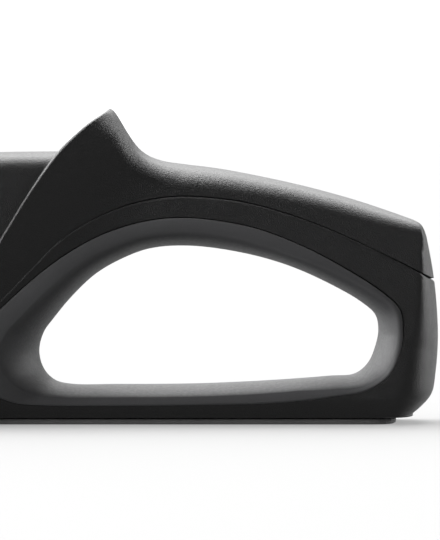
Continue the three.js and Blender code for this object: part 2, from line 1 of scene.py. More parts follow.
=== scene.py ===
# The looks of the knife edge beveler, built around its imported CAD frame. The shapes are worked out
# in millimetres in the part's own frame, and become metres when a mesh is made. X runs from the nose
# to the rear, the near side is at negative Y, and Z is up.
import math

import bmesh
import bpy
import numpy as np
from mathutils import Euler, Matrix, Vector


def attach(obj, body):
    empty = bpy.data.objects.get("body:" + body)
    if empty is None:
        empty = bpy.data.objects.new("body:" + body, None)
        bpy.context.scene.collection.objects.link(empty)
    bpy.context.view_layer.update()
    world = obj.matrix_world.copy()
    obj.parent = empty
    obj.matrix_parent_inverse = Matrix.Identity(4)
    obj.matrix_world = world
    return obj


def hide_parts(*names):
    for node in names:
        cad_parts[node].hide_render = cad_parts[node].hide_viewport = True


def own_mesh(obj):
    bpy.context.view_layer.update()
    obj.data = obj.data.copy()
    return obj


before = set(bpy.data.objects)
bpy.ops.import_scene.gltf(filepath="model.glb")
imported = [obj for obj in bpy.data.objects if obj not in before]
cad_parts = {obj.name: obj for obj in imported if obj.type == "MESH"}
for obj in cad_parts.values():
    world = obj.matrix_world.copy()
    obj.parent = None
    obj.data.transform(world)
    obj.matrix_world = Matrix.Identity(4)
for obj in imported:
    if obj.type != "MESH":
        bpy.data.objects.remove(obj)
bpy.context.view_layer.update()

# ---------------------------------------------------------------- driving dimensions, as in the CAD
GAP = 0.3  # between the head housing and its neighbours
WALL = 2.3  # of the head housing
BOTTOM = 1.9  # where the mouldings start, on top of the base pad
HANDLE_HALF = 16.5  # half-widths of the handle, of the guard's rim and of the head
GUARD_HALF = 24
HEAD_HALF = 20
FLARE_LENGTH = 38  # how far behind the leading edge the guard's flare reaches
TUCK = 2.5  # how far the sides draw in at the base, and from what height down
TUCK_TOP = 7.4
END_ARC = 26.4  # plan radius of the rear end, low down
NOSE_ARC = 30  # plan radius of the nose
CROWN = 0.8  # how far the top rises from its edge to its middle
LINER_SKIN = 2.5
HEAD_TAIL = 1.5  # how far the head housing runs in behind the guard's leading edge
HEAD_CORNER = 4.5  # radius between the head's side and its top
NOSE_STOP = -87.0  # where the nose's curved rows have become upright
TRAY_STOP = -58  # where the tray's upright rows start to slant like the guard
SLOT_XS = [-81.5, -58.5, -35.5]
SLOT_CUT = 4.0  # half-width of a slot's opening in the head housing
SLOT_BASE = 50.7  # how far down that opening reaches
SHAFT_Z = 46
WEB_FACE = 11.45  # from a slot's middle to the web that its coil stands on

# ---------------------------------------------------------------- finer facts, which only the looks have
EDGE = 0.14  # radius on the moulded edges
SEAM_EDGE = 0.8  # radius on the housing's outer edges, which catch the light along the seam
LINER_EDGE = 0.42  # radius on the liner's rim
PROUD = 0.3  # how far the housing stands out from the cover
LINER_GAP = 0.03  # between the liner's rim and the housing
LINER_PROUD = 0.15  # how far the liner's rim stands out from the housing
LINER_ROLL = 0.9  # how far the liner's crest stands out from its rim at the top of the opening
LINER_DIP = 0.7  # how far it lies below the rim at the bottom
RIM_EDGE = 0.8  # radius on the guard's rim
# Each of these is a row of stations and the value at each of them.
SEAM_GAPS = [84, 98], [0.06, 0.17]  # half of the seam's opening, against x
END_ARCS = [22, 42, 50, 57], [END_ARC, 40, 60, 140]  # plan radius of the rear end, against z
END_CORNERS = [10, 30, 43, 46], [5, 3.5, 2.5, 2]  # rounding between that end and the sides, against z
TOP_CORNERS = [0, 0.08, 0.15, 0.3, 0.56, 0.8], [8, 5, 5.5, 7.5, 6, 5.3]  # against the share of the length
CREST_PLACES = [35, 62, 88], [0.57, 0.5, 0.79]  # the liner's crest between opening and rim, against x
CREST_HEIGHTS = [12, 40], [0, 1]  # from dipped at the bottom to rolled at the top, against z
CREST_BLUNTNESS = [26, 44], [1.3, 2]  # the crest is crisp low down and soft at the top, against z
CREST_FULLNESS = [26, 44], [1.8, 2]

LEADING_EDGE = [(-54.6, 1.9), (-38.1, 29), (-24.5, 51.7), (-14.3, 68.2), (-6.8, 78.4), (0, 85), (7.4, 91)]
TOP_LINE = [
    (7.4, 91), (8.6, 90.1), (12.9, 83.3), (15.6, 79.6), (18.4, 77.4), (22.6, 75.8), (28.4, 74.9),
    (39.3, 73.5), (52, 71.1), (64.5, 68.3), (78, 64.6), (88, 61.3), (95.5, 58.6),
]
REAR_END = [
    (94.3, 1.9), (97.6, 4.6), (100.7, 8.4), (101.9, 15), (102.5, 24), (102.2, 33), (101.3, 42),
    (99.8, 50.6), (98.7, 55.2), (97.5, 57.4), (95.5, 58.6),
]
BODY_SEAM = [
    (-60, -1), (-41.9, 17.1), (-30.3, 29), (-18.8, 40.9), (-12.6, 47.3), (-7, 52.9), (0, 57.7),
    (8, 61.7), (16, 64.3), (26.3, 65.9), (36, 65.6), (46, 64.3), (56.6, 61.6), (69, 57.2),
    (80.5, 52.1), (95.5, 44.7), (108, 38),
]
HEAD_TOP = [
    (-93, 66.6), (-84, 70.4), (-70, 73.9), (-55, 76.1), (-40, 77.5), (-24.5, 78.3), (-6.5, 78.5),
    (4, 78.5),
]
NOSE = [
    (-95.5, 1.9), (-98.6, 4.8), (-101, 8.6), (-102, 15), (-102.5, 24), (-101.8, 38), (-99.9, 52),
    (-98, 60.5), (-96.2, 64.6), (-93, 66.6),
]
HEAD_SEAM = [(-110, 21.7), (-44, 14), (20, 6.5)]
# each point of the hand opening's narrowest line, with the point of its rim that it faces
HOLE_AND_RIM = [
    ((30, 51.2), (29, 59.8)), ((45.1, 49.3), (47.5, 57.3)), ((59, 45.5), (62.5, 51.9)),
    ((72, 39.7), (76, 44.9)), ((80.5, 34.7), (86.2, 38.3)), ((84.3, 31.2), (91, 33.6)),
    ((85.2, 27), (92, 28)), ((84.4, 22.3), (91.4, 21.5)), ((82.2, 17.2), (88.3, 14.6)),
    ((78.4, 14.1), (81.8, 10.1)), ((71, 13.4), (72.5, 8.3)), ((55, 12.2), (55.5, 6.4)),
    ((33, 11.2), (33, 5.8)), ((10, 11), (8, 5.5)), ((-4, 11.1), (-11, 5.6)),
    ((-8.6, 12.3), (-20.5, 6.5)), ((-11.8, 15.6), (-29, 11.2)), ((-13.1, 20.6), (-33, 19)),
    ((-11.9, 25.9), (-30.6, 26.3)), ((-8.5, 30.7), (-24.5, 32.8)), ((-3.1, 37.1), (-14.6, 42)),
    ((3.5, 43.2), (-4.5, 49.6)), ((11, 47.5), (6, 55.2)), ((19, 50.4), (17, 58.6)),
]


# ---------------------------------------------------------------- curves
def through(points, closed=False, per_span=64):
    """Centripetal Catmull-Rom points through the given ones, evenly spread within each span."""
    p = np.array(points, float)
    ends = (p[-1], p[:2]) if closed else (2 * p[0] - p[1], 2 * p[-1] - p[-2])
    knots = np.vstack([ends[0], p, ends[1]])
    t = np.linspace(0, 1, per_span, endpoint=False)[:, None]
    spans = []
    for a, b, c, d in zip(knots, knots[1:], knots[2:], knots[3:]):
        before, here, after = (np.linalg.norm(v) ** 0.5 for v in (b - a, c - b, d - c))
        start = ((b - a) / before - (c - a) / (before + here) + (c - b) / here) * here
        end = ((c - b) / here - (d - b) / (here + after) + (d - c) / after) * here
        square, cube = 3 * (c - b) - 2 * start - end, 2 * (b - c) + start + end
        spans.append(b + start * t + square * t**2 + cube * t**3)
    return np.vstack(spans if closed else spans + [p[-1:]])


def lengths(points):
    return np.concatenate([[0], np.cumsum(np.linalg.norm(np.diff(points, axis=0), axis=1))])


def at_lengths(points, where):
    s = lengths(points)
    return np.stack([np.interp(where, s, points[:, k]) for k in range(points.shape[1])], -1)


def evenly(points, shares):
    return at_lengths(points, np.asarray(shares) * lengths(points)[-1])


def x_against_z(line):
    """x as a function of z, carried straight on past the line's upper end."""
    before = -25  # far enough back to give the end's slope
    slope = (line[-1, 0] - line[before, 0]) / (line[-1, 1] - line[before, 1])

    def read(z):
        past = line[-1, 0] + (z - line[-1, 1]) * slope
        return np.where(z > line[-1, 1], past, np.interp(z, line[:, 1], line[:, 0]))

    return read


leading_edge, top_line, rear_end = through(LEADING_EDGE), through(TOP_LINE), through(REAR_END)
head_top, nose = through(HEAD_TOP), through(NOSE)
body_seam, head_seam = through(BODY_SEAM), through(HEAD_SEAM)
lead_x, rear_x, nose_x = x_against_z(leading_edge), x_against_z(rear_end), x_against_z(nose)


def z_on(line, x):
    return np.interp(x, line[:, 0], line[:, 1])


def seam_gap(x):
    """Half of the seam's opening, which widens at the rear corner."""
    return np.interp(x, *SEAM_GAPS)


def soft_min(a, b, rounding):
    """The smaller of two lengths, with the corner between them rounded."""
    h = np.clip(0.5 + 0.5 * (b - a) / rounding, 0, 1)
    return b + (a - b) * h - rounding * h * (1 - h)


def arc_half(radius, depth):
    """Half-width of a round end at a depth behind its tip."""
    return np.sqrt(np.maximum(0.0, radius**2 - np.maximum(0, radius - np.maximum(depth, 0)) ** 2))


def tuck_at(z):
    """How far the sides draw in near the base, with the crease above it softened."""
    t = np.clip((TUCK_TOP + 0.9 - z) / 1.8, 0, 1)
    ramp = np.where(t < 1, 0.9 * t**2, (TUCK_TOP - z))
    return TUCK * np.clip(ramp / (TUCK_TOP - BOTTOM), 0, 1.2)


def body_side(x, z):
    """Half-width of the handle and guard, before the rear end limits it."""
    flare = np.clip(1 - (x - lead_x(z)) / FLARE_LENGTH, 0, 1.1) ** 2
    return HANDLE_HALF + (GUARD_HALF - HANDLE_HALF) * flare - tuck_at(z)


def body_end(x, z, side):
    """A half-width as the rear end limits it. Higher up the end is flatter and its corner crisper."""
    radius = np.interp(z, *END_ARCS)
    rounding = np.interp(z, *END_CORNERS)
    return np.maximum(soft_min(side, arc_half(radius, rear_x(z) - x), rounding), 0)


def head_side(x, z):
    """Half-width of the head, which is the same at every x."""
    return HEAD_HALF - tuck_at(z) + 0 * x


def head_end(x, z, side):
    """A half-width as the nose limits it."""
    return np.maximum(soft_min(side, arc_half(NOSE_ARC, x - nose_x(z)), 4), 0)


def body_half(x, z):
    return body_end(x, z, body_side(x, z))


def head_half(x, z):
    return head_end(x, z, head_side(x, z))


def inward(x, z):
    """Unit normal of the near side of the handle, pointing into it."""
    x = np.minimum(x, rear_x(z) - 0.06)
    step = 0.02
    dx = (body_half(x + step, z) - body_half(x - step, z)) / (2 * step)
    dz = (body_half(x, z + step) - body_half(x, z - step)) / (2 * step)
    n = np.stack([dx, np.ones_like(dx), dz], -1)
    return n / np.linalg.norm(n, axis=-1, keepdims=True)


def unit(v):
    return v / np.maximum(np.linalg.norm(v, axis=-1, keepdims=True), 1e-12)


# ---------------------------------------------------------------- meshes
QUARTER_TURN = (22.5, 45, 67.5, 90)  # the steps of a rounded edge, in degrees


class Skin:
    """A mesh gathered from grids of points. Every grid is the near half, and is mirrored."""

    def __init__(self):
        self.points, self.faces, self.count = [], [], 0

    def grid(self, rows, closed=False, keep=None):
        """rows: array of rows × columns × 3. keep(j, i) says whether a cell gets its face."""
        rows = np.asarray(rows, float)
        rows[..., 1] = np.minimum(rows[..., 1], 0)
        height, width = rows.shape[:2]
        mirrored = rows * [1, -1, 1]
        for side, block in enumerate((rows, mirrored)):
            self.points.append(block.reshape(-1, 3))
            for j in range(height - 1):
                for i in range(width if closed else width - 1):
                    if keep is not None and not keep(j, i):
                        continue
                    k = (i + 1) % width
                    quad = [j * width + i, j * width + k, (j + 1) * width + k, (j + 1) * width + i]
                    quad = [self.count + v for v in quad]
                    self.faces.append(quad if side == 0 else quad[::-1])
            self.count += height * width

    def make(self, name, outward):
        """outward(point) is the direction in which the skin should face there."""
        mesh = bpy.data.meshes.new(name)
        bm = bmesh.new()
        verts = [bm.verts.new(p) for p in (np.vstack(self.points) / 1000).tolist()]
        for face in self.faces:
            bm.faces.new([verts[i] for i in face])
        bmesh.ops.remove_doubles(bm, verts=bm.verts, dist=4e-6)
        bmesh.ops.dissolve_degenerate(bm, edges=bm.edges, dist=1e-6)
        loose = [v for v in bm.verts if not v.link_faces]
        bmesh.ops.delete(bm, geom=loose, context="VERTS")
        bmesh.ops.recalc_face_normals(bm, faces=bm.faces)
        total = sum(f.normal.dot(outward(f.calc_center_median())) * f.calc_area() for f in bm.faces)
        if total < 0:
            bmesh.ops.reverse_faces(bm, faces=bm.faces)
        bm.to_mesh(mesh)
        bm.free()
        mesh.shade_smooth()
        obj = bpy.data.objects.new(name, mesh)
        bpy.context.scene.collection.objects.link(obj)
        return obj


def solidify(obj, thickness):
    shell = obj.modifiers.new("wall", "SOLIDIFY")
    shell.thickness = thickness / 1000
    shell.offset = -1
    shell.use_even_offset = True
    shell.use_quality_normals = True
    shell.thickness_clamp = 0.5


def ease(obj, centre, reach, times):
    """Smooth the skin within reach of a point, where its rows come together."""
    bm = bmesh.new()
    bm.from_mesh(obj.data)
    near = [v for v in bm.verts if (v.co * 1000 - Vector(centre)).length < reach]
    axes = {"use_axis_x": True, "use_axis_y": True, "use_axis_z": True}
    for _ in range(times):
        bmesh.ops.smooth_vert(bm, verts=near, factor=0.5, **axes)
    bm.to_mesh(obj.data)
    bm.free()


def soften(obj, width, angle):
    bevel = obj.modifiers.new("edges", "BEVEL")
    bevel.width = width / 1000
    bevel.segments = 2
    bevel.limit_method = "ANGLE"
    bevel.angle_limit = math.radians(angle)
    bevel.miter_outer = "MITER_ARC"


def weigh(obj):
    weighted = obj.modifiers.new("normals", "WEIGHTED_NORMAL")
    weighted.weight = 60
    weighted.keep_sharp = False


def edge_rows(base, out, into, depth, radius=EDGE):
    """Rows that round an edge and turn into the part: base row, away from the face, inwards."""
    rows = []
    for degrees in QUARTER_TURN:
        a = math.radians(degrees)
        rows.append(base + out * (radius * math.sin(a)) + into * (radius * (1 - math.cos(a))))
    depth = np.broadcast_to(np.asarray(depth, float), base.shape[:1])[:, None]
    rows.append(base + out * radius + into * np.maximum(depth, np.max(radius)))
    return rows


def side_points(xz):
    x, z = xz[..., 0], xz[..., 1]
    return np.stack([x, -body_half(x, z), z], -1)


def handle_axis(p):
    """Direction from the handle's or head's middle plane to a point of its side."""
    return Vector((0, p.y, 0)).normalized() if abs(p.y) > 1e-5 else Vector((0, 0, 0))


# ---------------------------------------------------------------- hand opening
HAND_CENTRE = np.array([38.0, 30.0])


def opening(rim_grow, per_span):
    """The hand opening's narrow line and its rim, as matched closed lines."""
    hole, rim = [], []
    for inner, outer in HOLE_AND_RIM:
        inner, outer = np.array(inner, float), np.array(outer, float)
        hole.append(inner)
        rim.append(outer + unit(outer - inner) * rim_grow)
    return through(hole, True, per_span), through(rim, True, per_span)


def grip_skin():
    """The soft liner: a waisted tube with a crest inside its rim."""
    hole, rim = opening(0, 12)
    wide = np.linalg.norm(rim - hole, axis=1)
    edge = body_half(rim[:, 0], rim[:, 1]) + LINER_PROUD
    crest = np.interp(rim[:, 0], *CREST_PLACES)
    high = np.interp(rim[:, 1], *CREST_HEIGHTS)
    roll, dip = LINER_ROLL * high, LINER_DIP * (1 - high)
    bluntness = np.interp(rim[:, 1], *CREST_BLUNTNESS)
    fullness = np.interp(rim[:, 1], *CREST_FULLNESS)
    last = 1 - LINER_EDGE / wide

    def row(share, y):
        xz = hole + (rim - hole) * share[:, None]
        return np.stack([xz[:, 0], -y, xz[:, 1]], -1)

    rows = []
    # from the opening's middle out to the crest, with the rows closest at both ends
    for t in (1 - np.cos(np.linspace(0, math.pi, 44))) / 2:
        swell = (1 - (1 - t) ** bluntness) ** (1 / fullness)
        rows.append(row(crest * t, (edge + roll - dip) * swell))
    # from the crest to the rim
    for t in np.linspace(0, 1, 11)[1:]:
        share = crest + (last - crest) * t
        past = (share - crest) / (1 - crest)
        rows.append(row(share, edge + roll * (1 - past**2) - dip * (1 - past) ** 2))
    base = rows[-1]
    out = unit(base - rows[-2])
    side = inward(rim[:, 0], rim[:, 1])
    n = unit(side - out * (out * side).sum(-1, keepdims=True))
    rows += edge_rows(base, out, n, LINER_SKIN - 0.3, LINER_EDGE)
    skin = Skin()
    skin.grid(np.array(rows), closed=True)
    x, z = HAND_CENTRE / 1000
    obj = skin.make("grip_skin", lambda p: Vector((x - p.x, 0, z - p.z)))
    solidify(obj, 1.5)
    return obj


# ---------------------------------------------------------------- handle and tray
SEAM_SIDE, REAR_SIDE, BASE_SIDE, FRONT_SIDE = range(4)  # the stretches of the handle's outline
RIM_STEPS = 32  # points between two control points of the rim


def handle_outline():
    """The outline of the near side below the seam, as four lines from corner to corner."""
    seam = body_seam.copy()
    seam[:, 1] -= seam_gap(seam[:, 0]) + SEAM_EDGE
    lead = leading_edge + [SEAM_EDGE, 0]
    off_lead = np.abs(seam[:, 0] - lead_x(seam[:, 1]) - SEAM_EDGE)
    cross_front = seam[np.argmin(off_lead + (seam[:, 1] > 40) * 99)]  # the crossing below, not the upper one
    on_rear = seam[:, 0] - rear_x(seam[:, 1])
    k = np.argmax((on_rear > 0) & (seam[:, 0] > 60))
    share = on_rear[k - 1] / (on_rear[k - 1] - on_rear[k])
    cross_rear = seam[k - 1] + (seam[k] - seam[k - 1]) * share
    over = seam[(seam[:, 0] > cross_front[0]) & (seam[:, 0] < cross_rear[0])]
    over = np.vstack([cross_front, over, cross_rear])
    down = rear_end[(rear_end[:, 1] > BOTTOM + SEAM_EDGE) & (rear_end[:, 1] < cross_rear[1])][::-1]
    foot = np.array([rear_x(BOTTOM + SEAM_EDGE), BOTTOM + SEAM_EDGE])
    down = np.vstack([cross_rear, down, foot])
    start = np.array([lead_x(BOTTOM + SEAM_EDGE) + SEAM_EDGE, BOTTOM + SEAM_EDGE])
    along = np.linspace(foot, start, 400)
    up = lead[(lead[:, 1] > start[1]) & (lead[:, 1] < cross_front[1])]
    up = np.vstack([start, up, cross_front])
    return over, down, along, up


def handle_shell():
    """The handle below the seam and the tray under the head, drawn from the liner's rim outwards."""
    _, rim = opening(LINER_GAP + EDGE, RIM_STEPS)
    rim = np.vstack([rim, rim[:1]])
    places = np.arange(len(rim)) / RIM_STEPS
    spans = len(HOLE_AND_RIM)
    over, down, along, up = handle_outline()
    # the stretch of the rim that faces each stretch of the outline, in control points, and its columns
    pieces = [(over, 17.1, 28.45, 220), (down, 4.45, 8.4, 56), (along, 8.4, 15.9, 130), (up, 15.9, 17.1, 12)]
    columns, kinds = [], []
    for kind, (outline, first, last, count) in enumerate(pieces):
        surface = side_points(outline)
        shares = np.linspace(0, 1, count, endpoint=False)
        ends = evenly(surface, shares)
        marks = first + (last - first) * shares
        starts = np.stack([np.interp(marks % spans, places, rim[:, k]) for k in (0, 1)], -1)
        for begin, end in zip(starts, ends[:, [0, 2]]):
            t = 1 - (1 - np.linspace(0, 1, 160)) ** 2
            columns.append(side_points(begin + (end - begin) * t[:, None]))
        kinds += [kind] * count
    kinds = np.array(kinds)
    rows = np.array([evenly(c, np.linspace(0, 1, 32)) for c in columns]).transpose(1, 0, 2)
    total = rows.shape[1]
    # outer edge: seam, bottom and front get a rounded edge and a flange, the rear closes on itself
    base = rows[-1]
    base[kinds == REAR_SIDE, 1] = 0
    n = inward(base[:, 0], base[:, 2])
    tangent = unit(np.roll(base, -1, 0) - np.roll(base, 1, 0))
    out = unit(np.cross(n, tangent))
    want = np.array([[0, 0, 1], [1, 0, 0], [0, 0, -1], [-1, 0, -0.6]])[kinds]
    out *= np.sign((out * want).sum(-1, keepdims=True) + 1e-9)
    out[kinds == BASE_SIDE] = [0, 0, -1]
    n[kinds == BASE_SIDE] = [0, 1, 0]
    depth = np.array([2.2, 0, 12, 3.6])[kinds]
    flange = edge_rows(base, out, n, depth, SEAM_EDGE)
    lip = flange[-1] + n * 0.5 + out * 1.3  # stands behind the seam, so that no light passes through it
    flange.append(np.where((kinds == SEAM_SIDE)[:, None], lip, flange[-1]))
    skin = Skin()
    skin.grid(rows, closed=True)
    has_edge = kinds != REAR_SIDE
    has_edge &= np.roll(has_edge, -1)
    skin.grid(np.array([base] + flange), closed=True, keep=lambda j, i: bool(has_edge[i]))
    # inner edge, round the liner
    base = rows[0]
    n = inward(base[:, 0], base[:, 2])
    tangent = unit(np.roll(base, -1, 0) - np.roll(base, 1, 0))
    out = unit(np.cross(n, tangent))
    to_centre = np.stack([HAND_CENTRE[0] - base[:, 0], np.zeros(total), HAND_CENTRE[1] - base[:, 2]], -1)
    out *= np.sign((out * to_centre).sum(-1, keepdims=True))
    seat = edge_rows(base, out, n, 3.1)
    seat.append(seat[-1] + out * 1.6)
    skin.grid(np.array([base] + seat), closed=True)
    tray_rows(skin)
    obj = skin.make("handle_shell", handle_axis)
    solidify(obj, 1.4)
    return obj


def nose_fan(count):
    """Side-view lines that pass from the nose's curve to a straight upright one."""
    v = np.linspace(0, 1, 200)
    nose_line = evenly(nose, v)
    z_end = z_on(head_top, NOSE_STOP)
    upright = np.stack([np.full(200, NOSE_STOP), BOTTOM + (z_end - BOTTOM) * v], -1)
    lines = []
    for t in np.linspace(0, 1, count) ** 2:
        line = nose_line + (upright - nose_line) * t
        line[:, 1] += (z_on(head_top, line[-1, 0]) - line[-1, 1]) * v
        lines.append(line)
    return lines


def tray_rows(skin):
    """The moulding under the head: side walls up to the head's seam, and its bottom."""
    lines = nose_fan(26)
    z = np.linspace(BOTTOM, 40, 200)
    lines += [np.stack([np.full(200, x), z], -1) for x in np.linspace(NOSE_STOP, TRAY_STOP, 26)[1:]]
    slant = lead_x(z) + HEAD_TAIL
    lines += [np.stack([TRAY_STOP + (slant - TRAY_STOP) * t, z], -1) for t in np.linspace(0, 1, 9)[1:]]
    round_edge, rows = 0.6, []
    for number, line in enumerate(lines):
        seam = z_on(head_seam, line[:, 0]) - GAP / 2
        inside = (line[:, 1] < seam) & (line[:, 1] > BOTTOM + round_edge)
        side = line[inside]
        y = -head_half(side[:, 0], side[:, 1])
        if number == 0:
            y[:] = 0
        side = evenly(np.stack([side[:, 0], y, side[:, 1]], -1), np.linspace(1, 0, 34))
        foot = side[-1]
        row = [side]
        for degrees in QUARTER_TURN:
            a = math.radians(degrees)
            inwards = min(round_edge * (1 - math.cos(a)), -foot[1])
            row.append([foot + [0, inwards, -round_edge * math.sin(a)]])
        flat = row[-1][0]
        row.append([flat * [1, s, 1] for s in np.linspace(1, 0, 12)[1:]])
        rows.append(np.vstack(row))
    skin.grid(np.array(rows))


# ---------------------------------------------------------------- crowned sections
def section(line, side_at, end_at, corner, samples=260):
    """The near half of a section: up the side, round the top corner and over to the crest.

    side_at(x, z) is the half-width, and end_at(x, z, half) limits it at the nose or the rear.
    """
    s = lengths(line)
    length = s[-1]

    def spot(where):
        return np.stack([np.interp(where, s, line[:, 0]), np.interp(where, s, line[:, 1])], -1)

    top = spot(length - CROWN)
    flat = float(side_at(top[0], top[1])) - corner
    curve = CROWN / flat**2
    reach = flat
    for _ in range(6):
        turn = math.atan2(1, 2 * curve * reach)
        reach = flat + corner * math.cos(turn)
    start = length - curve * reach**2 - corner * math.sin(turn)
    up = spot(np.linspace(0, start, samples))
    half = side_at(up[:, 0], up[:, 1])
    angles = np.linspace(0, turn, 48)[1:]
    bend = spot(start + corner * np.sin(angles))
    half = np.concatenate([half, side_at(bend[:, 0], bend[:, 1]) - corner + corner * np.cos(angles)])
    rise = length - (start + corner * math.sin(turn))
    shares = np.linspace(1, 0, 48)[1:]
    over = spot(length - rise * shares**2)
    half = np.concatenate([half, half[-1] * shares])
    xz = np.vstack([up, bend, over])
    return np.stack([xz[:, 0], -end_at(xz[:, 0], xz[:, 1], half), xz[:, 1]], -1)


def trimmed(points, above):
    """The part of a section whose height stands clear of a line, from its crossing on."""
    first = int(np.argmax(above > 0))
    if first == 0:
        return points
    share = -above[first - 1] / (above[first] - above[first - 1])
    return np.vstack([points[first - 1] + (points[first] - points[first - 1]) * share, points[first:]])


# ---------------------------------------------------------------- top cover
def cover_lines():
    """Side-view lines from base to top, from the guard's leading edge to the rear end."""
    v = np.linspace(0, 1, 420)
    lead = evenly(leading_edge, v)
    lead_bulge = lead - (lead[0] + (lead[-1] - lead[0]) * v[:, None])
    (front_x, _), (rear_foot, _) = LEADING_EDGE[0], REAR_END[0]
    bulge_reach, last = 0.3, 0.8  # where the leading edge's curve has faded, and where the rear's starts

    def fanned(q):
        """The line at a share q of the top's length, and the radius between side and top there."""
        top = evenly(top_line, [q])[0]
        bottom = np.array([front_x + (rear_foot - front_x) * q, BOTTOM])
        share = max(0.0, 1 - q / bulge_reach) ** 2
        return bottom + (top - bottom) * v[:, None] + lead_bulge * share, np.interp(q, *TOP_CORNERS)

    lines = [fanned(q) for q in [0, *np.linspace(0.014, last, 126)]]
    before, corner = fanned(last)
    rear = evenly(rear_end, v)
    for s in np.linspace(0, 1, 42)[1:]:
        t = 1 - (1 - s) ** 2
        line = before + (rear - before) * t
        line[:, 1] += (z_on(top_line, line[-1, 0]) - line[-1, 1]) * v
        lines.append((line, corner))
    return lines


def cover_shell():
    """The handle's top and the guard, with the guard's rim and front wall."""
    columns, rows = 76, []
    for line, corner in cover_lines():
        full = section(line, body_side, body_end, corner)
        above = full[:, 2] - z_on(body_seam, full[:, 0]) - seam_gap(full[:, 0]) - EDGE
        part = trimmed(full, above)
        rows.append(evenly(part, np.linspace(0, 1, columns)))
    rows = np.array(rows)
    rows[..., 1] = np.minimum(rows[..., 1] + PROUD * np.clip(-rows[..., 1] / 4, 0, 1), 0)
    rows[-1, :, 1] = 0
    rows[:, -1, 1] = 0
    # front edge: the first row is drawn back, rounded, and turned into the front wall
    front = rows[0].copy()
    back = unit(rows[1] - rows[0])
    radius = RIM_EDGE * np.clip(-front[:, 1:2] / 8, 0.3, 1)
    rows[0] = front + back * radius
    across = unit(np.gradient(front, axis=0))
    n = unit(np.cross(across, back))
    n *= np.sign(n[:, 1:2] + np.where(front[:, 1:2] > -6, -n[:, 2:3] * 3, 0) + 1e-9)
    rounding = edge_rows(rows[0], -back, n, 0, radius)[:-1]
    wall = front_wall(rounding[-1])
    skin = Skin()
    skin.grid(rows)
    skin.grid(np.array([rows[0]] + rounding + wall))
    # seam edge
    base = rows[:, 0]
    n = inward(base[:, 0], base[:, 2])
    tangent = unit(np.gradient(base, axis=0))
    out = unit(np.cross(n, tangent))
    out *= np.sign(-out[:, 2:3])
    skin.grid(np.array([base] + edge_rows(base, out, n, 2.2)))
    obj = skin.make("cover_shell", handle_axis)
    solidify(obj, 1.5)
    return obj


def front_wall(outer):
    """Rows from the guard's rim across its front face to the passage for the head, and in."""
    top = z_on(head_top, -6.5) + GAP
    low = outer[0, 2]
    corner, half = HEAD_CORNER + GAP, HEAD_HALF + GAP
    upright = np.linspace([half, low], [half, top - CROWN - corner], 60)
    angles = np.radians(np.linspace(0, 90, 14))[1:]
    flat, shoulder = half - corner, top - CROWN - corner
    turn = np.stack([flat + corner * np.cos(angles), shoulder + corner * np.sin(angles)], -1)
    over = [[y, top - CROWN * (y / flat) ** 2] for y in np.linspace(flat, 0, 20)[1:]]
    passage = evenly(np.vstack([upright, turn, over]), np.linspace(0, 1, len(outer)))
    start = np.stack([-outer[:, 1], outer[:, 2]], -1)
    rows = []
    for t in np.linspace(0, 1, 10)[1:]:
        yz = start + (passage - start) * t
        x = outer[:, 0] - lead_x(outer[:, 2]) + lead_x(yz[:, 1])
        rows.append(np.stack([x, -yz[:, 0], yz[:, 1]], -1))
    rows.append(rows[-1] + [2.2, 0, 0])
    return rows


# ---------------------------------------------------------------- head housing
def head_shell():
    """The head housing, with its three slots left open down to SLOT_BASE."""
    lines = nose_fan(30)
    xs, at, back_end = [], NOSE_STOP, -5.4
    marks = sorted(x + s * SLOT_CUT for x in SLOT_XS for s in (-1, 1)) + [back_end]
    for mark in marks:
        steps = max(3, round((mark - at) / 0.95))
        xs += list(np.linspace(at, mark, steps + 1)[1:])
        at = mark
    for x in xs:
        z_top = z_on(head_top, x)
        lines.append(np.stack([np.full(300, x), np.linspace(BOTTOM, z_top, 300)], -1))
    low_count, high_count = 40, 50
    rows = []
    for number, line in enumerate(lines):
        full = section(line, head_side, head_end, HEAD_CORNER)
        x = full[:, 0]
        floor = z_on(head_seam, x) + GAP / 2
        floor = np.where(x > -53, np.maximum(floor, z_on(leading_edge, x - HEAD_TAIL)), floor)
        part = trimmed(full, full[:, 2] - floor)
        low, top = part[0, 2], part[-1, 2]
        # the rows break at the slots' base, and behind the last slot at a share of the height
        split = SLOT_BASE if part[0, 0] <= -31.4 else low + 0.326 * (top - low)
        k = int(np.argmax(part[:, 2] > split))
        share = (split - part[k - 1, 2]) / (part[k, 2] - part[k - 1, 2])
        middle = part[k - 1] + (part[k] - part[k - 1]) * share
        lower = evenly(np.vstack([part[:k], middle]), np.linspace(0, 1, low_count))
        upper = evenly(np.vstack([middle, part[k:]]), np.linspace(0, 1, high_count))
        row = np.vstack([lower, upper[1:]])
        if number == 0:
            row[:, 1] = 0
        row[-1, 1] = 0
        rows.append(row)
    rows = np.array(rows)
    between = (rows[1:, low_count, 0] + rows[:-1, low_count, 0]) / 2
    in_slot = [any(abs(x - s) < SLOT_CUT for s in SLOT_XS) for x in between]
    skin = Skin()
    skin.grid(rows, keep=lambda j, i: not (in_slot[j] and i >= low_count - 1))
    obj = skin.make("head_shell", handle_axis)
    ease(obj, (HEAD_TOP[0][0], 0, HEAD_TOP[0][1]), 6, 60)
    solidify(obj, WALL)
    soften(obj, 0.25, 50)
    weigh(obj)
    return obj


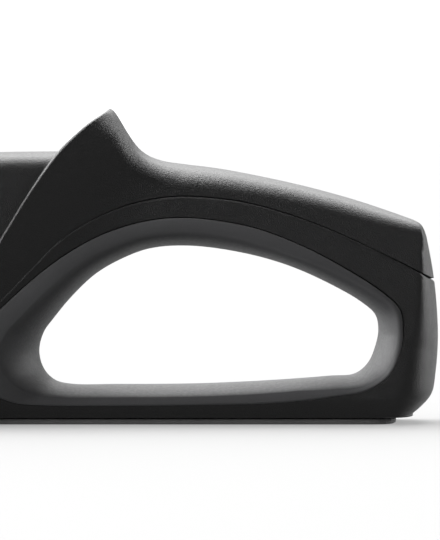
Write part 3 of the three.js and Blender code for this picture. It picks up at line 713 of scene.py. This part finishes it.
# ---------------------------------------------------------------- springs
def spring(x):
    """A coil on the shaft, from the web beside the slot at x to the floating wheel's hub."""
    wire, radius, turns, steps, around = 0.38, 4.9, 3.25, 40, 12
    hub_face = 7.2
    start, end = WEB_FACE - wire, hub_face + wire
    mesh = bpy.data.meshes.new("spring")
    bm = bmesh.new()
    count = int(turns * steps)
    pitch = (start - end) / (2 * math.pi * turns)
    rings = []
    for i in range(count + 1):
        angle = 2 * math.pi * i / steps
        share = i / count
        outwards = np.array([0, math.cos(angle), math.sin(angle)])
        centre = np.array([x - (start + (end - start) * share), 0, SHAFT_Z]) + radius * outwards
        along = unit(np.array([pitch, -radius * math.sin(angle), radius * math.cos(angle)]))
        third = np.cross(along, outwards)
        ring = []
        for k in range(around):
            a = 2 * math.pi * k / around
            ring.append(bm.verts.new((centre + wire * (math.cos(a) * outwards + math.sin(a) * third)) / 1000))
        rings.append(ring)
    for one, two in zip(rings, rings[1:]):
        for k in range(around):
            bm.faces.new([one[k], one[(k + 1) % around], two[(k + 1) % around], two[k]])
    bm.faces.new(rings[0][::-1])
    bm.faces.new(rings[-1])
    bmesh.ops.recalc_face_normals(bm, faces=bm.faces)
    bm.to_mesh(mesh)
    bm.free()
    mesh.shade_smooth()
    obj = bpy.data.objects.new("spring", mesh)
    bpy.context.scene.collection.objects.link(obj)
    return obj


# ---------------------------------------------------------------- materials
def material(name, color, roughness, metallic, grain, blotch, specular=0.5):
    """A principled surface whose grain, colour variation and wear come from noise in object space.

    grain is (scale, bump distance in mm, roughness swing). blotch is how far the colour wanders.
    """
    m = bpy.data.materials.new(name)
    m.use_nodes = True
    nodes, links = m.node_tree.nodes, m.node_tree.links
    shader = nodes["Principled BSDF"]
    shader.inputs["Base Color"].default_value = (*color, 1)
    shader.inputs["Roughness"].default_value = roughness
    shader.inputs["Metallic"].default_value = metallic
    shader.inputs["Specular IOR Level"].default_value = specular
    where = nodes.new("ShaderNodeTexCoord")

    def noise(scale, detail, rough=0.5):
        n = nodes.new("ShaderNodeTexNoise")
        n.inputs["Scale"].default_value = scale
        n.inputs["Detail"].default_value = detail
        n.inputs["Roughness"].default_value = rough
        links.new(where.outputs["Object"], n.inputs["Vector"])
        return n

    def ramp(source, low, high):
        r = nodes.new("ShaderNodeMapRange")
        r.inputs["From Min"].default_value = 0.3
        r.inputs["From Max"].default_value = 0.7
        r.inputs["To Min"].default_value = low
        r.inputs["To Max"].default_value = high
        links.new(source.outputs["Fac"], r.inputs["Value"])
        return r.outputs["Result"]

    mix = nodes.new("ShaderNodeMix")
    mix.data_type = "RGBA"
    mix.inputs["A"].default_value = (*[c * (1 - blotch) for c in color], 1)
    mix.inputs["B"].default_value = (*[min(1, c * (1 + blotch)) for c in color], 1)
    links.new(ramp(noise(60, 3), 0, 1), mix.inputs["Factor"])
    links.new(mix.outputs["Result"], shader.inputs["Base Color"])
    scale, depth, swing = grain
    bump = nodes.new("ShaderNodeBump")
    bump.inputs["Strength"].default_value = 1
    bump.inputs["Distance"].default_value = depth / 1000
    links.new(noise(scale, 2, 0.6).outputs["Fac"], bump.inputs["Height"])
    links.new(bump.outputs["Normal"], shader.inputs["Normal"])
    uneven = ramp(noise(scale * 0.35, 2), roughness - swing, roughness + swing)
    links.new(uneven, shader.inputs["Roughness"])
    return m


# slot: colour, roughness, metallic, grain, blotch, and a specular level where it isn't the usual one
FINISHES = {
    "black_shell": ((0.003, 0.003, 0.0031), 0.38, 0, (3100, 0.2, 0.05), 0.1, 0.24),
    "soft_grip": ((0.02, 0.02, 0.021), 0.58, 0, (3000, 0.05, 0.05), 0.06, 0.3),
    "base_rubber": ((0.045, 0.045, 0.045), 0.8, 0, (1800, 0.03, 0.06), 0.1),
    "guide_plastic": ((0.075, 0.078, 0.082), 0.45, 0, (2400, 0.012, 0.06), 0.06),
    "cradle_plastic": ((0.22, 0.225, 0.235), 0.5, 0, (2000, 0.012, 0.06), 0.05),
    "steel": ((0.56, 0.57, 0.58), 0.26, 1, (5200, 0.003, 0.06), 0.05),
    "coated_steel": ((0.3, 0.28, 0.24), 0.62, 0.7, (6500, 0.05, 0.08), 0.14),
    "hub_plastic": ((0.6, 0.57, 0.47), 0.5, 0, (2200, 0.01, 0.05), 0.04),
    "bronze": ((0.48, 0.31, 0.11), 0.36, 1, (7000, 0.008, 0.08), 0.12),
}
MATERIALS = {slot: material(slot, *facts) for slot, facts in FINISHES.items()}


def finish_as(obj, slot, node):
    """Give a piece its finish, and let it ride on the casing in place of a CAD node."""
    obj.data.materials.append(MATERIALS[slot])
    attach(obj, "casing")
    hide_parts(node)


# ---------------------------------------------------------------- the pieces
finish_as(grip_skin(), "soft_grip", "grip_liner")
finish_as(handle_shell(), "black_shell", "lower_housing")
finish_as(cover_shell(), "black_shell", "top_cover")
finish_as(head_shell(), "black_shell", "head_housing")

for number, x in enumerate(SLOT_XS, 1):
    coil = spring(x)
    coil.name = f"stage_{number}_coil"
    finish_as(coil, "steel", f"stage_{number}_spring")
    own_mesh(coil)

# CAD nodes that stay: slot, and the radius on their edges
CARRIED_OVER = {
    "base_pad": ("base_rubber", 0),
    "wheel_cradle": ("cradle_plastic", 0.25),
    "shaft_keeper_front": ("cradle_plastic", 0.2),
    "shaft_keeper_rear": ("cradle_plastic", 0.2),
    "wheel_shaft": ("steel", 0.2),
    "shaft_clip_front": ("steel", 0.08),
    "shaft_clip_rear": ("steel", 0.08),
}
for number in (1, 2, 3):
    CARRIED_OVER[f"stage_{number}_guide"] = ("guide_plastic", 0.2)
    for side in ("fixed", "floating"):
        CARRIED_OVER[f"stage_{number}_{side}_sleeve"] = ("bronze", 0.1)
        CARRIED_OVER[f"stage_{number}_{side}_hub"] = ("hub_plastic", 0.15)
        CARRIED_OVER[f"stage_{number}_{side}_wheel"] = ("coated_steel", 0.08)
for place in ("nose", "guard"):
    for side in ("near", "far"):
        CARRIED_OVER[f"{place}_screw_{side}"] = ("steel", 0.12)
for end in ("front", "rear"):
    CARRIED_OVER[f"cradle_screw_{end}"] = ("steel", 0.12)
for name, (slot, width) in CARRIED_OVER.items():
    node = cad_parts[name]
    if not node.material_slots:
        node.data.materials.append(None)
    for held in node.material_slots:
        held.material = MATERIALS[slot]
    if width:
        soften(node, width, 35)
    weigh(node)


# ---------------------------------------------------------------- studio
# A paper floor. It ends half a metre in front of the object, so that the sides mirror little of it.
FLOOR = [(-6, -0.5, 0), (6, -0.5, 0), (6, 6, 0), (-6, 6, 0)]
floor_mesh = bpy.data.meshes.new("floor")
floor_mesh.from_pydata(FLOOR, [], [(0, 1, 2, 3)])
floor = bpy.data.objects.new("floor", floor_mesh)
bpy.context.scene.collection.objects.link(floor)
paper = bpy.data.materials.new("floor_paper")
paper.use_nodes = True
surface = paper.node_tree.nodes["Principled BSDF"].inputs
surface["Base Color"].default_value = (0.075, 0.075, 0.075, 1)
surface["Roughness"].default_value = 0.9
surface["Specular IOR Level"].default_value = 0.1
surface["Emission Color"].default_value = (1, 1, 1, 1)
surface["Emission Strength"].default_value = 0.36
floor_mesh.materials.append(paper)

# The room is a world whose brightness depends on the direction. The camera sees plain white instead.
SKY = 19.0  # brightness of the softbox above
scene = bpy.context.scene
world = bpy.data.worlds.new("studio")
scene.world = world
world.use_nodes = True
tree = world.node_tree
tree.nodes.clear()
seen = tree.nodes.new("ShaderNodeBackground")
seen.inputs["Color"].default_value = (1, 1, 1, 1)
seen.inputs["Strength"].default_value = 1.2
dim = tree.nodes.new("ShaderNodeBackground")
dim.inputs["Color"].default_value = (1, 1, 1, 1)
where = tree.nodes.new("ShaderNodeTexCoord")
split = tree.nodes.new("ShaderNodeSeparateXYZ")
tree.links.new(where.outputs["Generated"], split.inputs[0])


def fade(axis, start, end, low, high):
    """World brightness that rises smoothly along one direction of the room."""
    r = tree.nodes.new("ShaderNodeMapRange")
    r.interpolation_type = "SMOOTHSTEP"
    r.inputs["From Min"].default_value = start
    r.inputs["From Max"].default_value = end
    r.inputs["To Min"].default_value = low
    r.inputs["To Max"].default_value = high
    tree.links.new(split.outputs[axis], r.inputs["Value"])
    return r.outputs["Result"]


def combine(operation, one, two):
    c = tree.nodes.new("ShaderNodeMath")
    c.operation = operation
    tree.links.new(one, c.inputs[0])
    tree.links.new(two, c.inputs[1])
    return c.outputs[0]


def product(*sources):
    result = sources[0]
    for source in sources[1:]:
        result = combine("MULTIPLY", result, source)
    return result


# a big softbox above, to the left and a little behind
above = product(
    fade("Z", 0.38, 0.7, 0.0, SKY),
    fade("Y", -0.32, 0.25, 0.02, 1.0),
    fade("Y", 0.3, 0.75, 1.0, 0.16),
    fade("X", 0.2, 0.55, 1.0, 0.08),
)
# a paler wall behind the object, above the floor
wall = product(
    fade("Z", 0.12, 0.4, 0.0, 2.8),
    fade("Y", 0.1, 0.5, 0.0, 1.0),
    fade("X", 0.35, 0.7, 1.0, 0.3),
)
# a panel at each end
right = product(fade("X", 0.7, 0.92, 0.0, 14.0), fade("Y", -0.25, 0.35, 0.03, 1.0))
left = fade("X", -0.92, -0.55, 17.0, 0.0)
ends = combine("ADD", right, left)
# a faint fill from behind the object, and near darkness from the camera's side
fill = fade("Y", -0.35, 0.3, 0.01, 0.2)
room = combine("ADD", combine("ADD", above, wall), combine("ADD", ends, fill))
tree.links.new(room, dim.inputs["Strength"])
path = tree.nodes.new("ShaderNodeLightPath")
choose = tree.nodes.new("ShaderNodeMixShader")
out = tree.nodes.new("ShaderNodeOutputWorld")
tree.links.new(path.outputs["Is Camera Ray"], choose.inputs[0])
tree.links.new(dim.outputs[0], choose.inputs[1])
tree.links.new(seen.outputs[0], choose.inputs[2])
tree.links.new(choose.outputs[0], out.inputs[0])

scene.view_settings.view_transform = "Standard"
scene.view_settings.look = "None"

lens = bpy.data.cameras.new("camera")
lens.type = "PERSP"
lens.sensor_fit = "AUTO"
lens.sensor_width = 36
lens.lens = 400
lens.clip_start, lens.clip_end = 0.05, 30
camera = bpy.data.objects.new("camera", lens)
scene.collection.objects.link(camera)
# it looks down a little at this point of the middle plane, from this far away
aim_x, aim_z, away, pitch = 0.0393, 0.0441, 1.74, math.radians(2.0)
camera.location = (aim_x, -away * math.cos(pitch), aim_z + away * math.sin(pitch))
camera.rotation_euler = Euler((math.pi / 2 - pitch, 0, 0))
scene.camera = camera
